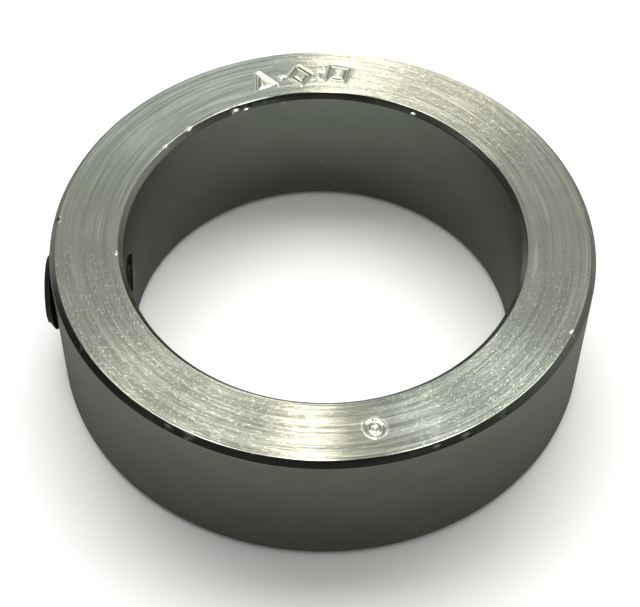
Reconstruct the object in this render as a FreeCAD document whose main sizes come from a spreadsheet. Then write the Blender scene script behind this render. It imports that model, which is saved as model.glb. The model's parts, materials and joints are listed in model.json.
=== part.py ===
import FreeCAD, Part
import Sketcher
import os

# One-piece shaft collar with a socket set screw, in millimetres.
# The origin is the centre of the bore at mid-width. The bore runs along Z. The set screw's hole runs out
# along -X at mid-width, so its axis meets the bore's axis at the origin.

SIZES = {
    # the turned ring
    "outer_diameter": 82.55,
    "bore_diameter": 60.35,
    "collar_width": 23.8125,
    "outer_chamfer": 0.9,
    "bore_chamfer": 0.85,
    # the radial hole: plain, with room round the outside of the screw's thread
    "hole_allowance": 0.10,
    "hole_countersink": 0.5,
    # the set screw and its 1/2-13 thread
    "thread_pitch": 25.4 / 13,
    "thread_diameter": 12.7,
    "tooth_height": 0.54127 * 25.4 / 13,
    "screw_allowance": 0.05,
    "screw_length": 12.5,
    "tip_gap": 0.03,
    "end_chamfer": 1.1,
    "point_chamfer": 1.6,
    "point_diameter": 7.3,
    "cup_diameter": 6.8,
    "cup_depth": 1.6,
    "socket_flats": 6.35,
    "socket_depth": 5.6,
    "socket_chamfer": 0.35,
    "drill_cone": 1.3,
}

# How far a cutting profile runs past the surface that it cuts, and how many turns the thread cutter makes
OVERRUN = 0.1
CUTTER_TURNS = 9

document = FreeCAD.newDocument("shaft_collar")


def make_sheet():
    sheet = document.addObject("Spreadsheet::Sheet", "Sizes")
    for row, (alias, value) in enumerate(SIZES.items(), start=1):
        sheet.set(f"A{row}", alias.replace("_", " "))
        sheet.set(f"B{row}", f"{value:.6f}")
        sheet.setAlias(f"B{row}", alias)
    document.recompute()


def make_body(label):
    body = document.addObject("PartDesign::Body", label)
    body.Label = label
    return body


def add_sketch(body, name, plane_role):
    """An empty sketch on one of the body's own origin planes."""
    sketch = body.newObject("Sketcher::SketchObject", name)
    plane = next(item for item in body.Origin.OriginFeatures if item.Role == plane_role)
    sketch.AttachmentSupport = [(plane, "")]
    sketch.MapMode = "FlatFace"
    return sketch


def bind(sketch, kind, arguments, expression):
    """Add a dimension to a sketch and tie it to the sheet."""
    value = float(sketch.evalExpression(expression))
    index = sketch.addConstraint(Sketcher.Constraint(kind, *arguments, value))
    sketch.setExpression(f"Constraints[{index}]", expression)


def add_outline(sketch, corners):
    """A closed outline of straight lines. Each corner is two expressions, its distances from the origin."""
    points = []
    for across, up in corners:
        place = [float(sketch.evalExpression(expression)) for expression in (across, up)]
        points.append(FreeCAD.Vector(place[0], place[1], 0))
    for start, end in zip(points, points[1:] + points[:1]):
        sketch.addGeometry(Part.LineSegment(start, end))
    for line in range(len(points)):
        following = (line + 1) % len(points)
        sketch.addConstraint(Sketcher.Constraint("Coincident", line, 2, following, 1))
    for line, (across, up) in enumerate(corners):
        for axis, kind, expression in ((-2, "DistanceX", across), (-1, "DistanceY", up)):
            if expression == "0":
                sketch.addConstraint(Sketcher.Constraint("PointOnObject", line, 1, axis))
            else:
                bind(sketch, kind, (-1, 1, line, 1), expression)


def turn(body, kind, name, axis, corners):
    """Turn an outline in the XZ plane about the sketch's H_Axis (X) or V_Axis (Z)."""
    sketch = add_sketch(body, name + "_outline", "XZ_Plane")
    add_outline(sketch, corners)
    feature = body.newObject(kind, name)
    feature.Profile = sketch
    feature.ReferenceAxis = (sketch, [axis])
    feature.Angle = 360
    document.recompute()


def cut_thread(body, name, groove_centre, corners):
    """Cut a right-hand helical groove about X. Corners are (half width, radius) pairs, mirrored."""
    near_side = [(f"{groove_centre} - {half}", radius) for half, radius in corners]
    far_side = [(f"{groove_centre} + {half}", radius) for half, radius in reversed(corners)]
    sketch = add_sketch(body, name + "_outline", "XZ_Plane")
    add_outline(sketch, near_side + far_side)
    helix = body.newObject("PartDesign::SubtractiveHelix", name)
    helix.Profile = sketch
    helix.ReferenceAxis = (sketch, ["H_Axis"])
    helix.Mode = "pitch-height-angle"
    helix.HasBeenEdited = True
    helix.LeftHanded = False
    helix.setExpression("Pitch", "Sizes.thread_pitch")
    helix.setExpression("Height", f"{CUTTER_TURNS} * Sizes.thread_pitch")
    document.recompute()


# Places along X that both pieces use
outer_wall = "Sizes.outer_diameter / 2"
screw_tip = "-(Sizes.bore_diameter / 2 + Sizes.tip_gap)"
screw_end = f"({screw_tip} - Sizes.screw_length)"
socket_floor = f"({screw_end} + Sizes.socket_depth)"
thread_start = f"(-{outer_wall} - 2 * Sizes.thread_pitch)"

# The hole is wider than the nominal thread and the screw narrower, so they clear each other at every depth
hole_wall = "(Sizes.thread_diameter / 2 + Sizes.hole_allowance)"
screw_crest = "(Sizes.thread_diameter / 2 - Sizes.screw_allowance)"
screw_root = f"({screw_crest} - Sizes.tooth_height)"


def build_collar_ring():
    """The turned ring with chamfered edges and a radial hole through its -X wall."""
    ring = make_body("collar_ring")
    inside = "Sizes.bore_diameter / 2"
    top = "Sizes.collar_width / 2"
    turn(ring, "PartDesign::Revolution", "ring_blank", "V_Axis", [
        (inside, f"-({top} - Sizes.bore_chamfer)"),
        (f"{inside} + Sizes.bore_chamfer", f"-{top}"),
        (f"{outer_wall} - Sizes.outer_chamfer", f"-{top}"),
        (outer_wall, f"-({top} - Sizes.outer_chamfer)"),
        (outer_wall, f"{top} - Sizes.outer_chamfer"),
        (f"{outer_wall} - Sizes.outer_chamfer", top),
        (f"{inside} + Sizes.bore_chamfer", top),
        (inside, f"{top} - Sizes.bore_chamfer"),
    ])
    # The hole, with a 45 degree countersink at the outer wall
    mouth = f"({hole_wall} + Sizes.hole_countersink)"
    turn(ring, "PartDesign::Groove", "drilled_hole", "H_Axis", [
        ("0", "0"),
        (f"-{outer_wall} - {OVERRUN}", "0"),
        (f"-{outer_wall} - {OVERRUN}", f"{mouth} + {OVERRUN}"),
        (f"-{outer_wall} + {mouth} - {hole_wall}", hole_wall),
        ("0", hole_wall),
    ])
    return ring


def build_set_screw():
    """The set screw: cup point inside, hex socket outside, thread along its whole length."""
    screw = make_body("set_screw")
    turn(screw, "PartDesign::Revolution", "screw_blank", "H_Axis", [
        (f"{screw_tip} - Sizes.cup_depth", "0"),
        (screw_tip, "Sizes.cup_diameter / 2"),
        (screw_tip, "Sizes.point_diameter / 2"),
        (f"{screw_tip} - Sizes.point_chamfer", screw_crest),
        (f"{screw_end} + Sizes.end_chamfer", screw_crest),
        (screw_end, f"{screw_crest} - Sizes.end_chamfer"),
        (screw_end, "0"),
    ])
    half_opening = f"(0.4375 * Sizes.thread_pitch + {OVERRUN} * tan(30 deg))"
    cut_thread(screw, "screw_thread", thread_start, [
        (half_opening, f"{screw_crest} + {OVERRUN}"),
        ("Sizes.thread_pitch / 8", screw_root),
    ])
    cut_socket(screw)
    return screw


def cut_socket(screw):
    """The hex socket: a hexagon with corners up and down, a drilled cone below it, a chamfered mouth."""
    corner_radius = "(Sizes.socket_flats / sqrt(3))"
    sketch = add_sketch(screw, "hex_outline", "YZ_Plane")
    sketch.setExpression(".AttachmentOffset.Base.z", socket_floor)
    half_flats = "Sizes.socket_flats / 2"
    add_outline(sketch, [
        ("0", corner_radius),
        (half_flats, f"{corner_radius} / 2"),
        (half_flats, f"-{corner_radius} / 2"),
        ("0", f"-{corner_radius}"),
        (f"-{half_flats}", f"-{corner_radius} / 2"),
        (f"-{half_flats}", f"{corner_radius} / 2"),
    ])
    hexagon = screw.newObject("PartDesign::Pocket", "hex_socket")
    hexagon.Profile = sketch
    hexagon.setExpression("Length", f"Sizes.socket_depth + {OVERRUN}")
    document.recompute()
    turn(screw, "PartDesign::Groove", "socket_drill_cone", "H_Axis", [
        (f"{socket_floor} - {OVERRUN}", "0"),
        (f"{socket_floor} - {OVERRUN}", f"{half_flats} - {OVERRUN}"),
        (socket_floor, f"{half_flats} - {OVERRUN}"),
        (f"{socket_floor} + Sizes.drill_cone", "0"),
    ])
    mouth = f"({corner_radius} + Sizes.socket_chamfer)"
    turn(screw, "PartDesign::Groove", "socket_mouth", "H_Axis", [
        (f"{screw_end} - {OVERRUN}", "0"),
        (f"{screw_end} - {OVERRUN}", f"{mouth} + {OVERRUN}"),
        (f"{screw_end} + {mouth} / 2", f"{mouth} / 2"),
        (f"{screw_end} + {mouth} / 2", "0"),
    ])


def check_document(pieces):
    """Stop if any feature failed, if a cut took nothing away, or if a piece isn't one valid solid."""
    document.recompute()
    for item in document.Objects:
        if "Invalid" in item.State or "Error" in item.State:
            raise RuntimeError(f"{item.Name} failed: {item.State}")
    for piece in pieces:
        features = [item for item in piece.Group if item.isDerivedFrom("PartDesign::Feature")]
        for before, after in zip(features, features[1:]):
            if after.Shape.Volume > before.Shape.Volume - 0.01:
                raise RuntimeError(f"{after.Name} cut nothing")
        shape = piece.Shape
        if shape.isNull() or not shape.isValid() or len(shape.Solids) != 1:
            raise RuntimeError(f"{piece.Label} isn't one valid solid")
        print(f"{piece.Label}: {shape.Volume:.1f} mm3, {len(shape.Faces)} faces")


make_sheet()
pieces = [build_collar_ring(), build_set_screw()]
check_document(pieces)
os.makedirs("parts", exist_ok=True)
for piece in pieces:
    piece.Shape.exportStep(f"parts/{piece.Label}.step")
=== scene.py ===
import json
import math

import bpy
import numpy as np
from mathutils import Matrix, Vector


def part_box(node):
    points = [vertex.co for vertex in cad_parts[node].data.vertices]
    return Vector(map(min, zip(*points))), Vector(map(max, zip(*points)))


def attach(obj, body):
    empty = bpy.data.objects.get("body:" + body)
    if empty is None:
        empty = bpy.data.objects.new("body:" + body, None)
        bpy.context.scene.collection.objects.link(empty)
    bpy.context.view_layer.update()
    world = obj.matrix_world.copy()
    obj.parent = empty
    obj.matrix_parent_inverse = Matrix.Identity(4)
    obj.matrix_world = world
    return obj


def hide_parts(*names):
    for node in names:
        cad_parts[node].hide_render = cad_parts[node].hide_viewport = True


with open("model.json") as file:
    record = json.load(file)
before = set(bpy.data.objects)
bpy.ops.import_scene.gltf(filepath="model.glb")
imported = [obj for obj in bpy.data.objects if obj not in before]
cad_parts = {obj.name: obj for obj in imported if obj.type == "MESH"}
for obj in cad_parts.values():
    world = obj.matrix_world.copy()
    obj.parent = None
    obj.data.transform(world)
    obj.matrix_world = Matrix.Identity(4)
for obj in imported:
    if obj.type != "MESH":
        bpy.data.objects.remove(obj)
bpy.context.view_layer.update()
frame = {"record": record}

# Everything below is worked out in millimetres and turned into metres when a mesh or a light is made.
MM = 0.001

# --- Sizes read from the frame ---------------------------------------------------------------------------

mounts = {mount["name"]: mount for mount in frame["record"]["mounts"]}
HALF_WIDTH = mounts["thrust_face_top"]["pos_m"][2] / MM
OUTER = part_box("collar_ring")[1].x / MM
BORE = mounts["bore"]["dims"]["r_mm"]
BORE_CHAMFER = HALF_WIDTH - mounts["bore"]["dims"]["length_mm"] / 2
OUTER_CHAMFER = 0.9
SCREW_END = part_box("set_screw")[0].x / MM
SCREW_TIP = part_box("set_screw")[1].x / MM

# The 1/2-13 thread, by the radii at its outside and its groove's middle on the side towards +Z. The packed
# ring has a plain hole. Here the hole is tapped, and its thread clears the screw's by 0.15 mm at whole turns.
PITCH = 25.4 / 13
TOOTH_HEIGHT = 0.54127 * PITCH
SCREW_CREST = 6.30
HOLE_ROOT = 6.45
COUNTERSINK = 0.5
GROOVE_CENTRE = -41.275 - 2 * PITCH

rng = np.random.default_rng(7)


# --- Mesh helpers ----------------------------------------------------------------------------------------

def mesh_from_grid(name, points, closed=False):
    """A piece from a grid of points in mm, rows by columns. Columns close round; rows close or are capped."""
    rows, columns, _ = points.shape
    index = np.arange(rows * columns).reshape(rows, columns)
    following = np.roll(index, -1, axis=0) if closed else index[1:]
    here = index if closed else index[:-1]
    quads = np.stack([here, following, np.roll(following, -1, axis=1), np.roll(here, -1, axis=1)], axis=-1)
    faces = quads.reshape(-1, 4).tolist()
    vertices = points.reshape(-1, 3)
    if not closed:
        for row, step in ((0, 1), (rows - 1, -1)):
            centre = len(vertices)
            vertices = np.vstack([vertices, points[row].mean(axis=0)])
            for column in range(columns):
                pair = [index[row, column], index[row, (column + 1) % columns]]
                faces.append([centre] + [int(corner) for corner in pair[::step]])
    mesh = bpy.data.meshes.new(name)
    mesh.from_pydata((vertices * MM).tolist(), [], faces)
    mesh.shade_smooth()
    mesh.validate()
    piece = bpy.data.objects.new(name, mesh)
    bpy.context.scene.collection.objects.link(piece)
    return piece


def smooth_step(low, high, value):
    """Zero at low and one at high, eased at both ends."""
    share = np.clip((value - low) / (high - low), 0, 1)
    return share * share * (3 - 2 * share)


def spaced(start, end, step):
    """Evenly spaced values from start to end, both included, about step apart."""
    return np.linspace(start, end, max(2, round(abs(end - start) / step) + 1))


# --- Punch marks and knocks ------------------------------------------------------------------------------

# Plain inspection marks in outline, each stroke a line of points in mm: (across, outwards from the axis)
TRIANGLE = [[(-1.4, -1.6), (1.4, -1.6), (0.0, 1.8), (-1.4, -1.6)]]
DOT = [[(-0.08, 0.0), (0.08, 0.0)]]
DIAMOND = [[(0.0, 1.9), (1.5, 0.0), (0.0, -1.9), (-1.5, 0.0), (0.0, 1.9)]]
SQUARE = [[(-1.3, -1.5), (1.3, -1.5), (1.3, 1.5), (-1.3, 1.5), (-1.3, -1.5)]]
TARGET = [[(1.0 * math.sin(turn), 1.2 * math.cos(turn)) for turn in np.linspace(0, 2 * math.pi, 17)],
          [(-0.05, 0.0), (0.05, 0.0)]]

# Each mark: strokes, place round the ring in degrees, distance from the axis, lean in degrees, depth
MARKS = [
    (TRIANGLE, 105.3, 34.8, 8, 0.16),
    (DOT, 99.9, 34.7, 0, 0.20),
    (DIAMOND, 94.9, 34.9, 4, 0.26),
    (DOT, 89.9, 35.1, 0, 0.22),
    (SQUARE, 84.6, 35.4, -9, 0.22),
    (TARGET, -79.8, 35.7, 12, 0.15),
]
STROKE = 0.40

# The burr beside a stroke that is BURR_DEPTH deep: its height, its distance past the stroke, its spread
BURR, BURR_OFFSET, BURR_SPREAD = 0.07, 0.12, 0.16
BURR_DEPTH = 0.25

# Knocks on the edges: place in degrees, distance from the axis, height, length, width, depth
KNOCKS = [
    (-174.7, 31.1, 11.9, 0.30, 0.28, 0.09),
    (132.3, 31.1, 11.9, 0.40, 0.30, 0.12),
    (142.0, 31.1, 11.9, 0.30, 0.25, 0.10),
    (174.3, 40.5, 11.9, 0.50, 0.45, 0.18),
    (-28.3, 40.4, 11.8, 0.40, 0.35, 0.12),
    (116.1, 30.8, 11.6, 0.60, 0.35, 0.12),
    (112.8, 30.5, 11.3, 0.70, 0.30, 0.10),
    (60.2, 30.7, 11.5, 0.50, 0.35, 0.12),
    (-123.2, 40.9, 11.4, 0.60, 0.25, 0.07),
    (-118.5, 40.7, 11.6, 0.90, 0.30, 0.09),
    (-68.7, 40.9, 11.3, 0.50, 0.30, 0.09),
    (-62.4, 41.0, 11.3, 0.60, 0.30, 0.10),
    (-53.2, 40.8, 11.4, 0.50, 0.30, 0.08),
    (-138.5, 41.3, 9.3, 0.22, 0.16, 0.12),
    (-101.0, 41.3, 0.2, 0.20, 0.20, 0.10),
    (-59.2, 41.3, 10.1, 0.22, 0.16, 0.10),
    (-150.0, 40.9, 11.5, 0.35, 0.30, 0.08),
    (-141.0, 37.0, 11.9, 0.30, 0.30, 0.06),
    (20.0, 41.0, 11.3, 0.45, 0.30, 0.09),
    (-5.0, 40.9, -11.4, 0.60, 0.35, 0.12),
    (150.0, 41.0, -11.3, 0.50, 0.30, 0.10),
]


def stroke_distance(across, outwards, points):
    """Distance from each place to the nearest of a line of points."""
    nearest = np.full(across.shape, np.inf)
    for (x0, y0), (x1, y1) in zip(points, points[1:]):
        length_squared = (x1 - x0) ** 2 + (y1 - y0) ** 2
        share = ((across - x0) * (x1 - x0) + (outwards - y0) * (y1 - y0)) / length_squared
        share = np.clip(share, 0, 1)
        gap = np.hypot(across - x0 - share * (x1 - x0), outwards - y0 - share * (y1 - y0))
        nearest = np.minimum(nearest, gap)
    return nearest


def mark_height(radius, angle):
    """Height of the top face where the punch marks press it down and raise a burr round each stroke."""
    height = np.zeros(radius.shape)
    for strokes, place, distance, lean, depth in MARKS:
        sideways = (math.radians(place) - angle + math.pi) % (2 * math.pi) - math.pi
        across = sideways * radius
        outwards = radius - distance
        cosine, sine = math.cos(math.radians(lean)), math.sin(math.radians(lean))
        turned = (across * cosine + outwards * sine, outwards * cosine - across * sine)
        gap = np.minimum.reduce([stroke_distance(*turned, points) for points in strokes])
        pressed = -depth * (1 - smooth_step(0.04, STROKE, gap))
        burr = BURR * depth / BURR_DEPTH * np.exp(-((gap - STROKE - BURR_OFFSET) / BURR_SPREAD) ** 2)
        height += pressed + burr
    return height


def knock_depth(radius, angle, rise):
    """How far each point of the ring is knocked in."""
    depth = np.zeros(np.broadcast(radius, angle, rise).shape)
    for place, distance, height, length, width, deep in KNOCKS:
        sideways = (angle - math.radians(place) + math.pi) % (2 * math.pi) - math.pi
        reach = (sideways * radius / length) ** 2 + ((radius - distance) / width) ** 2
        reach = reach + ((rise - height) / width) ** 2
        depth = depth + deep * np.exp(-reach)
    return depth


# --- The ring --------------------------------------------------------------------------------------------

# How far the ring's corners are rounded back, and how near a point is to a face to be on it
EDGE_BREAK = 0.08
ON_FACE = 1e-6

# The ring's materials in order, and how deep a mark or knock goes before it counts as struck
WALL, FACE, STRUCK = 0, 1, 2
STRUCK_DEPTH = 0.012


def ring_outline():
    """The ring's section as points (radius, height), each with its row spacing, corners slightly rounded."""
    straight = HALF_WIDTH - OUTER_CHAMFER
    inner = HALF_WIDTH - BORE_CHAMFER
    corners = np.array([
        (BORE, -inner), (BORE, inner), (BORE + BORE_CHAMFER, HALF_WIDTH),
        (OUTER - OUTER_CHAMFER, HALF_WIDTH), (OUTER, straight), (OUTER, -straight),
        (OUTER - OUTER_CHAMFER, -HALF_WIDTH), (BORE + BORE_CHAMFER, -HALF_WIDTH),
    ])
    spacing = [0.30, 0.14, 0.10, 0.14, 0.30, 0.20, 0.30, 0.20]
    points = []
    for number, corner in enumerate(corners):
        previous, following = corners[number - 1], corners[(number + 1) % len(corners)]
        into = (corner - previous) / np.linalg.norm(corner - previous)
        out_of = (following - corner) / np.linalg.norm(following - corner)
        for share in (0, 0.25, 0.5, 0.75, 1):
            bend = corner - into * EDGE_BREAK * (1 - share) ** 2 + out_of * EDGE_BREAK * share ** 2
            points.append(bend)
        run = np.linalg.norm(following - corner) - 2 * EDGE_BREAK
        steps = max(2, round(run / spacing[number]))
        for step in range(1, steps):
            points.append(corner + out_of * (EDGE_BREAK + run * step / steps))
    return np.array(points)


def ring_angles():
    """Angles of the ring's columns: one degree apart, closer where the surface is marked or knocked."""
    fine = [(place, 4.2 if strokes is not DOT else 2.0, 0.16) for strokes, place, *_ in MARKS]
    fine += [(place, 2.0, 0.25) for place, *_ in KNOCKS]
    angles = [0.0]
    while angles[-1] < 360:
        here = angles[-1]
        steps = [step for place, span, step in fine if abs((here - place + 180) % 360 - 180) < span]
        angles.append(here + min(steps + [1.0]))
    return np.radians(np.array(angles[:-1]) * 360 / angles[-1])


def tool_marks(outline):
    """Rise and fall of each row of the section, as the turning tool left it."""
    ridges = rng.normal(0, 1, len(outline))
    ridges = ridges + 0.6 * np.roll(ridges, 1)
    on_face = np.abs(np.abs(outline[:, 1]) - HALF_WIDTH) < ON_FACE
    scored = on_face & (rng.random(len(outline)) < 0.07)
    return np.where(on_face, 0.0009, 0.0006) * ridges - 0.004 * scored


def build_ring():
    """The turned, marked and knocked ring, before its hole is cut, with a material for each finish."""
    outline = ring_outline()
    tangent = np.roll(outline, -1, axis=0) - np.roll(outline, 1, axis=0)
    tangent /= np.linalg.norm(tangent, axis=1, keepdims=True)
    normal = np.stack([-tangent[:, 1], tangent[:, 0]], axis=1)
    angle = ring_angles()[None, :]
    radius, rise = outline[:, :1], outline[:, 1:]
    on_top = np.abs(rise - HALF_WIDTH) < ON_FACE
    marked = np.where(on_top, mark_height(radius + 0 * angle, angle + 0 * radius), 0)
    disturbed = marked - knock_depth(radius, angle, rise)
    height = tool_marks(outline)[:, None] + disturbed
    radius = radius + height * normal[:, :1]
    rise = rise + height * normal[:, 1:]
    points = np.stack([radius * np.cos(angle), radius * np.sin(angle), rise + 0 * angle], axis=-1)
    piece = mesh_from_grid("collar_ring_turned", points, closed=True)
    on_face = np.abs(np.abs(outline[:, 1]) - HALF_WIDTH) < ON_FACE
    finish = np.where(on_face & np.roll(on_face, -1), FACE, WALL)[:, None]
    finish = np.where(np.abs(disturbed) > STRUCK_DEPTH, STRUCK, finish).astype(np.int32)
    piece.data.polygons.foreach_set("material_index", finish.ravel())
    return piece


# --- The thread, its hole and the screw ------------------------------------------------------------------

def thread_radius(x, turn, outside):
    """Distance from the screw's axis to a right-hand 60 degree thread along X."""
    inside = outside - TOOTH_HEIGHT
    along = (x - GROOVE_CENTRE) / PITCH - (turn - math.pi / 2) / (2 * math.pi)
    from_groove = np.abs(along - np.round(along)) * PITCH
    slope = (from_groove - PITCH / 8) / math.tan(math.radians(30))
    return np.clip(inside + slope, inside, outside)


def turned_about_x(x, radius, turn):
    """Points at the given distances from the X axis."""
    return np.stack([x + 0 * radius, radius * np.cos(turn), radius * np.sin(turn)], axis=-1)


def cut_hole(ring):
    """Cut the tapped hole through the ring's -X wall, with its countersink at the outer wall."""
    turn = np.linspace(0, 2 * math.pi, 145)[None, :-1]
    x = spaced(-26.0, -OUTER - 1.2, 0.08)[:, None]
    mouth = HOLE_ROOT + COUNTERSINK
    radius = np.maximum(thread_radius(x, turn, HOLE_ROOT), mouth - (x + OUTER))
    cutter = mesh_from_grid("hole_cutter", turned_about_x(x, radius, turn))
    boolean = ring.modifiers.new("tapped_hole", "BOOLEAN")
    boolean.operation = "DIFFERENCE"
    boolean.solver = "EXACT"
    boolean.object = cutter
    evaluated = ring.evaluated_get(bpy.context.evaluated_depsgraph_get())
    cut = bpy.data.meshes.new_from_object(evaluated)
    ring.modifiers.clear()
    ring.data = cut
    bpy.data.objects.remove(cutter)


# The screw's ends: a hex socket outside and a cup point inside
HEX_FLATS = 6.35
SOCKET_DEPTH = 5.6
SOCKET_CHAMFER = 0.35
DRILL_CONE = 1.3
CUP_RADIUS = 3.4
CUP_DEPTH = 1.6
POINT_RADIUS = 3.65
POINT_CHAMFER = 1.6
END_CHAMFER = 1.1


def build_screw():
    """Rows run from the cup's middle, over the point and along the thread, into the socket to its middle."""
    turn = np.linspace(0, 2 * math.pi, 181)[None, :-1]
    corner = (turn + math.pi / 6) % (math.pi / 3) - math.pi / 6
    hexagon = HEX_FLATS / 2 / np.cos(corner)
    corner_radius = HEX_FLATS / math.sqrt(3)
    rows = []

    def add(x, radius):
        rows.append(turned_about_x(x, radius + 0 * turn, turn)[0])

    for share in spaced(0.06, 1, 0.12):
        add(SCREW_TIP - CUP_DEPTH * (1 - share), CUP_RADIUS * share)
    add(SCREW_TIP, CUP_RADIUS + 0.06)
    add(SCREW_TIP, POINT_RADIUS - 0.06)
    slope = (SCREW_CREST - POINT_RADIUS) / POINT_CHAMFER
    length = SCREW_TIP - SCREW_END
    for along in spaced(0.02, length - 0.03, 0.06):
        point = POINT_RADIUS + along * slope
        end = SCREW_CREST - (along - length + END_CHAMFER)
        x = SCREW_TIP - along
        add(x, np.minimum(thread_radius(x, turn, SCREW_CREST), min(point, end)))
    mouth = corner_radius + SOCKET_CHAMFER
    for radius in spaced(SCREW_CREST - END_CHAMFER - 0.05, mouth + 0.05, 0.2):
        add(SCREW_END, radius)
    for deep in spaced(0.03, 1.0, 0.08):
        add(SCREW_END + deep, np.maximum(hexagon, mouth - deep))
    for deep in spaced(1.3, SOCKET_DEPTH - 0.02, 0.4):
        add(SCREW_END + deep, hexagon)
    for share in (0.97, 0.9):
        add(SCREW_END + SOCKET_DEPTH, hexagon * share)
    drill = HEX_FLATS / 2 * 0.88
    for share in spaced(1, 0.06, 0.15):
        add(SCREW_END + SOCKET_DEPTH + DRILL_CONE * (1 - share), drill * share)
    return mesh_from_grid("set_screw_threaded", np.array(rows))


# --- Materials -------------------------------------------------------------------------------------------

class Nodes:
    """A node tree under construction: a short way to add its nodes and link them."""

    def __init__(self, tree):
        self.nodes = tree.nodes
        self.links = tree.links

    def put(self, socket, value):
        """Link a socket to another node's output, or give it a value."""
        if isinstance(value, bpy.types.NodeSocket):
            self.links.new(value, socket)
        else:
            socket.default_value = value

    def add(self, kind, settings=(), **values):
        """A node. Values go to sockets by name, with spaces for underscores."""
        node = self.nodes.new(kind)
        for name, setting in dict(settings).items():
            setattr(node, name, setting)
        for name, value in values.items():
            self.put(node.inputs[name.replace("_", " ")], value)
        return node

    def math(self, operation, *values):
        node = self.nodes.new("ShaderNodeMath")
        node.operation = operation
        for socket, value in zip(node.inputs, values):
            self.put(socket, value)
        return node.outputs[0]

    def ramp(self, value, low, high, start=0.0, end=1.0):
        """The value from low to high, eased, as start to end."""
        node = self.add("ShaderNodeMapRange", {"interpolation_type": "SMOOTHSTEP"},
                        Value=value, From_Min=low, From_Max=high, To_Min=start, To_Max=end)
        return node.outputs["Result"]

    def blend(self, share, first, second):
        """The first colour where the share is zero, the second where it is one."""
        node = self.nodes.new("ShaderNodeMix")
        node.data_type = "RGBA"
        self.put(node.inputs["Factor"], share)
        self.put(node.inputs["A"], first)
        self.put(node.inputs["B"], second)
        return node.outputs["Result"]


class Shader(Nodes):
    """A material under construction."""

    def __init__(self, name):
        self.material = bpy.data.materials.new(name)
        self.material.use_nodes = True
        super().__init__(self.material.node_tree)
        self.surface = self.nodes["Principled BSDF"]

    def bump(self, height, distance, strength=1.0, normal=None):
        """A normal from a height, on top of an earlier one if that is given."""
        node = self.add("ShaderNodeBump", Height=height, Distance=distance, Strength=strength)
        if normal is not None:
            self.put(node.inputs["Normal"], normal)
        return node.outputs["Normal"]

    def round_the_axis(self):
        """Distance from Z and height in mm, cosine and sine of the angle round Z, and the place itself."""
        place = self.add("ShaderNodeTexCoord").outputs["Object"]
        parts = self.add("ShaderNodeSeparateXYZ", Vector=place).outputs
        x, y, z = [self.math("MULTIPLY", parts[axis], 1 / MM) for axis in "XYZ"]
        squares = self.math("ADD", self.math("MULTIPLY", x, x), self.math("MULTIPLY", y, y))
        radius = self.math("SQRT", squares)
        return radius, z, self.math("DIVIDE", x, radius), self.math("DIVIDE", y, radius), place


def grooves(shader, place, across, around, detail, seed):
    """Noise drawn out round the ring: per mm across the grooves and per radius round them."""
    radius, z, cosine, sine, _ = place
    vector = shader.add("ShaderNodeCombineXYZ", X=shader.math("MULTIPLY", radius, across),
                        Y=shader.math("MULTIPLY", z, across), Z=shader.math("MULTIPLY", cosine, around))
    noise = shader.add("ShaderNodeTexNoise", {"noise_dimensions": "4D"}, Vector=vector.outputs[0],
                       W=shader.math("MULTIPLY_ADD", sine, around, seed), Scale=1.0, Detail=detail)
    return noise.outputs["Fac"]


def lobe(shader, place, angle, low, high):
    """One near the given angle round the ring, fading to nothing away from it."""
    cosine = shader.math("MULTIPLY", place[2], math.cos(math.radians(angle)))
    sine = shader.math("MULTIPLY", place[3], math.sin(math.radians(angle)))
    return shader.ramp(shader.math("ADD", cosine, sine), low, high)


def silver_colour(shader, place):
    """Zinc's grey, faintly green, in soft clouds."""
    cloud = grooves(shader, place, 0.25, 6.0, 3.0, 13.0)
    return shader.blend(shader.ramp(cloud, 0.35, 0.65), (0.590, 0.610, 0.555, 1), (0.640, 0.655, 0.605, 1))


def set_grooved(shader, anisotropy):
    """Bare metal whose grooves run round the ring."""
    tangent = shader.add("ShaderNodeTangent", {"direction_type": "RADIAL", "axis": "Z"}).outputs[0]
    shader.put(shader.surface.inputs["Tangent"], tangent)
    shader.surface.inputs["Metallic"].default_value = 1.0
    shader.surface.inputs["Anisotropic"].default_value = anisotropy
    shader.surface.inputs["Anisotropic Rotation"].default_value = 0.25


def wall_steel():
    """The walls, the chamfers and the tapped hole: a fine finish with faint bands."""
    shader = Shader("zinc_plated_wall_steel")
    place = shader.round_the_axis()
    set_grooved(shader, 0.7)
    shader.put(shader.surface.inputs["Base Color"], silver_colour(shader, place))
    bands = grooves(shader, place, 1.1, 1.5, 4.0, 3.0)
    fine = grooves(shader, place, 7.0, 3.0, 2.0, 21.0)
    specks = shader.add("ShaderNodeTexNoise", Vector=place[4], Scale=900.0, Detail=3.0).outputs["Fac"]
    rough = shader.ramp(bands, 0.30, 0.70, 0.14, 0.18)
    rough = shader.math("ADD", rough, shader.ramp(specks, 0.62, 0.74, 0.0, 0.10))
    shader.put(shader.surface.inputs["Roughness"], rough)
    normal = shader.bump(fine, 0.0000007)
    normal = shader.bump(specks, 0.0000012, 1.0, normal)
    shader.put(shader.surface.inputs["Normal"], normal)
    return shader.material


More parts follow.
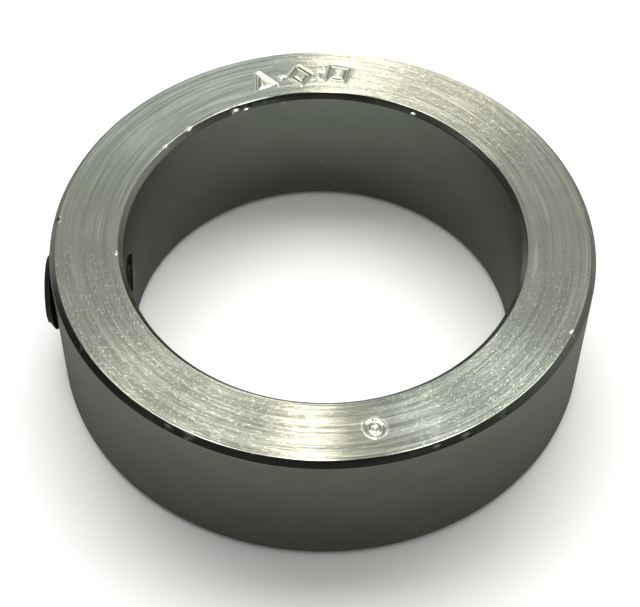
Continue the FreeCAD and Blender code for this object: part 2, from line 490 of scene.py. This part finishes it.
def face_steel():
    """The two flat faces: coarse concentric tool marks, with painted glints: cream flecks in three sectors
    round the ring, which also carry fleck bumps.
    """
    shader = Shader("zinc_plated_face_steel")
    place = shader.round_the_axis()
    set_grooved(shader, 1.0)
    lines = grooves(shader, place, 2.6, 2.5, 4.0, 5.0)
    scores = grooves(shader, place, 1.6, 2.0, 1.0, 31.0)
    flecks = grooves(shader, place, 5.0, 90.0, 2.0, 9.0)
    clouds = grooves(shader, place, 0.9, 30.0, 4.0, 17.0)
    # Three sectors round the ring, at -135, -42 and 60 degrees, where light glints on the faces: painted
    # glints go into the colour there, and fleck bumps into the normal.
    painted_glint_sectors = lobe(shader, place, -135, 0.50, 0.95)
    painted_glint_sectors = shader.math("MAXIMUM", painted_glint_sectors, lobe(shader, place, -42, 0.7, 0.97))
    painted_glint_sectors = shader.math("MAXIMUM", painted_glint_sectors, lobe(shader, place, 60, 0.6, 0.95))

    rough = shader.ramp(lines, 0.30, 0.70, 0.14, 0.19)
    rough = shader.math("ADD", rough, shader.ramp(clouds, 0.30, 0.70, -0.01, 0.03))
    shader.put(shader.surface.inputs["Roughness"], rough)

    dull = (0.450, 0.470, 0.430, 1)
    colour = shader.blend(shader.ramp(lines, 0.30, 0.65), dull, silver_colour(shader, place))
    # Painted glints: cream flecks in the glint sectors, with cream scored lines at half strength all round
    # the ring.
    bright = shader.math("MULTIPLY", shader.ramp(flecks, 0.54, 0.70), painted_glint_sectors)
    bright = shader.math("MAXIMUM", bright, shader.math("MULTIPLY", shader.ramp(scores, 0.62, 0.70), 0.5))
    colour = shader.blend(bright, colour, (0.96, 0.95, 0.86, 1))
    shader.put(shader.surface.inputs["Base Color"], colour)

    fine = grooves(shader, place, 8.0, 3.0, 1.0, 27.0)
    normal = shader.bump(lines, 0.000005)
    normal = shader.bump(fine, 0.000023, 1.0, normal)
    normal = shader.bump(flecks, 0.000008, painted_glint_sectors, normal)
    shader.put(shader.surface.inputs["Normal"], normal)
    return shader.material


def struck_steel():
    """The same steel where a punch or a knock has pressed it smooth, with no tool marks."""
    shader = Shader("zinc_plated_struck_steel")
    place = shader.round_the_axis()
    grain = shader.add("ShaderNodeTexNoise", Vector=place[4], Scale=2200.0, Detail=4.0).outputs["Fac"]
    shader.put(shader.surface.inputs["Base Color"], silver_colour(shader, place))
    shader.put(shader.surface.inputs["Roughness"], shader.ramp(grain, 0.3, 0.7, 0.16, 0.26))
    shader.put(shader.surface.inputs["Normal"], shader.bump(grain, 0.000012))
    shader.surface.inputs["Metallic"].default_value = 1.0
    return shader.material


def black_steel():
    """Black oxide on alloy steel, rubbed brighter on the crests of the thread."""
    shader = Shader("black_oxide_screw")
    place = shader.add("ShaderNodeTexCoord").outputs["Object"]
    parts = shader.add("ShaderNodeSeparateXYZ", Vector=place).outputs
    y, z = [shader.math("MULTIPLY", parts[axis], 1 / MM) for axis in "YZ"]
    squares = shader.math("ADD", shader.math("MULTIPLY", y, y), shader.math("MULTIPLY", z, z))
    radius = shader.math("SQRT", squares)
    grain = shader.add("ShaderNodeTexNoise", Vector=place, Scale=900.0, Detail=6.0).outputs["Fac"]
    patch = shader.add("ShaderNodeTexNoise", Vector=place, Scale=160.0, Detail=3.0).outputs["Fac"]
    crest = shader.ramp(radius, SCREW_CREST - 0.10, SCREW_CREST)
    worn = shader.math("MULTIPLY", crest, shader.ramp(patch, 0.45, 0.70))
    oxide = shader.blend(grain, (0.010, 0.010, 0.011, 1), (0.026, 0.026, 0.027, 1))
    colour = shader.blend(shader.math("MULTIPLY", worn, 0.55), oxide, (0.22, 0.22, 0.21, 1))
    shader.put(shader.surface.inputs["Base Color"], colour)
    shader.put(shader.surface.inputs["Roughness"], shader.ramp(grain, 0.3, 0.7, 0.34, 0.50))
    shader.put(shader.surface.inputs["Normal"], shader.bump(grain, 0.00001, 0.6))
    shader.surface.inputs["Metallic"].default_value = 0.55
    return shader.material


# --- Build the object ------------------------------------------------------------------------------------

ring = build_ring()
cut_hole(ring)
screw = build_screw()
for piece, node, body, slot, materials in (
    (ring, "collar_ring", "collar", "zinc_plated_steel", [wall_steel(), face_steel(), struck_steel()]),
    (screw, "set_screw", "screw", "black_oxide_steel", [black_steel()]),
):
    piece.data.set_sharp_from_angle(angle=math.radians(40))
    for material in materials:
        piece.data.materials.append(material)
    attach(piece, body)
    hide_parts(node)


# --- Stage -----------------------------------------------------------------------------------------------

def make_floor():
    """A plain pale floor. It shows dark in the metal, as a bench in an unlit room would."""
    mesh = bpy.data.meshes.new("floor")
    reach, level = 3.0, -HALF_WIDTH * MM
    mesh.from_pydata([(-reach, -reach, level), (reach, -reach, level), (reach, reach, level),
                      (-reach, reach, level)], [], [(0, 1, 2, 3)])
    floor = bpy.data.objects.new("floor", mesh)
    bpy.context.scene.collection.objects.link(floor)
    shader = Shader("pale_floor")
    reflected = shader.add("ShaderNodeLightPath").outputs["Is Glossy Ray"]
    colour = shader.blend(reflected, (0.90, 0.90, 0.89, 1), (0.147, 0.156, 0.139, 1))
    shader.put(shader.surface.inputs["Base Color"], colour)
    shader.surface.inputs["Roughness"].default_value = 0.9
    shader.surface.inputs["Specular IOR Level"].default_value = 0.1
    mesh.materials.append(shader.material)


def make_light(name, place, width, height, power, colour, seen_by):
    """A softbox facing straight down. It lights either the floor or the metal."""
    data = bpy.data.lights.new(name, "AREA")
    data.shape = "RECTANGLE"
    data.size = width
    data.size_y = height
    data.energy = power
    data.color = colour
    light = bpy.data.objects.new(name, data)
    light.location = place
    light.visible_diffuse = seen_by == "floor"
    light.visible_glossy = seen_by == "metal"
    bpy.context.scene.collection.objects.link(light)


def make_room():
    """A dim room: grey ahead and above, darker low down behind, black high up behind and to the left.

    The camera sees it pale.
    """
    world = bpy.data.worlds.new("room")
    world.use_nodes = True
    room = Nodes(world.node_tree)
    direction = room.add("ShaderNodeTexCoord").outputs["Generated"]
    parts = room.add("ShaderNodeSeparateXYZ", Vector=direction).outputs
    ahead = room.ramp(parts["Y"], -0.55, 0.45)
    above = room.ramp(parts["Z"], 0.0, 0.7, 0.28)
    not_left = room.ramp(parts["X"], -0.95, -0.45, 0.05)
    lit = room.math("MULTIPLY", room.math("MULTIPLY", ahead, above), not_left)
    shade = room.blend(lit, (0.003, 0.003, 0.003, 1), (0.43, 0.445, 0.40, 1))
    low_behind = room.math("MULTIPLY", room.ramp(parts["Y"], -0.20, -0.75), room.ramp(parts["Z"], 0.38, 0.27))
    shade = room.blend(low_behind, shade, (0.21, 0.22, 0.20, 1))
    direct = room.add("ShaderNodeLightPath").outputs["Is Camera Ray"]
    room.put(room.nodes["Background"].inputs["Color"], room.blend(direct, shade, (0.92, 0.92, 0.92, 1)))
    bpy.context.scene.world = world


def make_window(name, left, right, near, far, brightness, colour):
    """A softbox seen by the metal, given by its edges in metres: across, and away from the camera."""
    width, length = right - left, far - near
    place = ((left + right) / 2, (near + far) / 2, WINDOW_LEVEL)
    make_light(name, place, width, length, brightness * math.pi * width * length, colour, "metal")


CREAM, WHITE, COOL = (1.0, 0.91, 0.76), (0.96, 1.0, 0.93), (0.82, 0.98, 1.0)
WINDOW_LEVEL = 1.0

make_floor()
make_room()

# The floor's lights hang above the windows, because at the same height they would hide them from the metal
make_light("overhead_floor", (0.1, 0.1, 1.15), 3.0, 3.0, 19, (1, 1, 1), "floor")
make_light("ahead_floor", (0.0, 0.95, 1.1), 1.5, 1.5, 30, (1, 1, 1), "floor")

# Two windows in front, with a sharp edge between bright and dark, and two groups to their sides and ahead
make_window("window_bright", -0.008, 0.022, -0.30, 0.36, 14.0, CREAM)
make_window("window_beside", -0.063, -0.008, -0.30, 0.36, 9.5, CREAM)
make_window("window_cool", 0.022, 0.25, -0.30, 0.36, 0.05, COOL)
make_window("window_dim", -0.28, -0.063, -0.30, 0.36, 1.1, WHITE)
make_window("window_left", -0.50, -0.28, -0.30, 0.14, 8.0, WHITE)
make_window("window_left_middle", -0.50, -0.28, 0.14, 0.36, 0.9, WHITE)
make_window("window_low_left", -1.05, -0.50, -0.10, 0.32, 1.8, WHITE)
make_window("window_left_end", -0.60, -0.28, 0.38, 0.46, 4.5, WHITE)
make_window("window_middle_right", 0.25, 0.60, 0.10, 0.36, 1.2, WHITE)
make_window("window_right", 0.25, 0.46, -0.30, 0.16, 13.0, WHITE)
make_window("window_far_right", 0.46, 0.75, -0.30, 0.10, 0.9, WHITE)
make_window("window_low_right", 0.60, 0.95, 0.10, 0.30, 4.0, WHITE)
make_window("window_right_end", 0.28, 0.60, 0.41, 0.49, 4.8, WHITE)
make_window("window_ahead", 0.037, 0.20, 1.35, 2.1, 7.8, CREAM)
make_window("window_ahead_left", -0.80, 0.037, 1.35, 2.1, 1.1, COOL)
make_window("window_ahead_right", 0.20, 0.53, 1.35, 2.1, 3.8, CREAM)
make_window("window_ahead_far_right", 0.53, 1.0, 1.35, 2.0, 1.4, CREAM)

# --- Camera ----------------------------------------------------------------------------------------------

# Where the camera stands: round the object, above it, leaning, and metres away, beside and below its centre
VIEW_AZIMUTH = math.radians(-2.0)
VIEW_ELEVATION = math.radians(51.468)
VIEW_ROLL = math.radians(0.882)
DISTANCE = 0.26337
SIDEWAYS, UPWARDS = -0.000364, -0.002767


def make_camera():
    """The camera, aimed past the origin by the sideways and upwards shifts."""
    back = Vector((math.sin(VIEW_AZIMUTH) * math.cos(VIEW_ELEVATION),
                   -math.cos(VIEW_AZIMUTH) * math.cos(VIEW_ELEVATION), math.sin(VIEW_ELEVATION)))
    level = Vector((math.cos(VIEW_AZIMUTH), math.sin(VIEW_AZIMUTH), 0))
    upright = back.cross(level)
    right = level * math.cos(VIEW_ROLL) + upright * math.sin(VIEW_ROLL)
    up = back.cross(right)
    data = bpy.data.cameras.new("camera")
    data.sensor_width = 36
    data.lens = 94.5
    data.clip_start = 0.01
    data.clip_end = 20
    camera = bpy.data.objects.new("camera", data)
    turned = Matrix((right, up, back)).transposed().to_4x4()
    camera.matrix_world = Matrix.Translation(back * DISTANCE + right * SIDEWAYS + up * UPWARDS) @ turned
    bpy.context.scene.collection.objects.link(camera)
    bpy.context.scene.camera = camera


make_camera()
bpy.context.scene.view_settings.view_transform = "Standard"
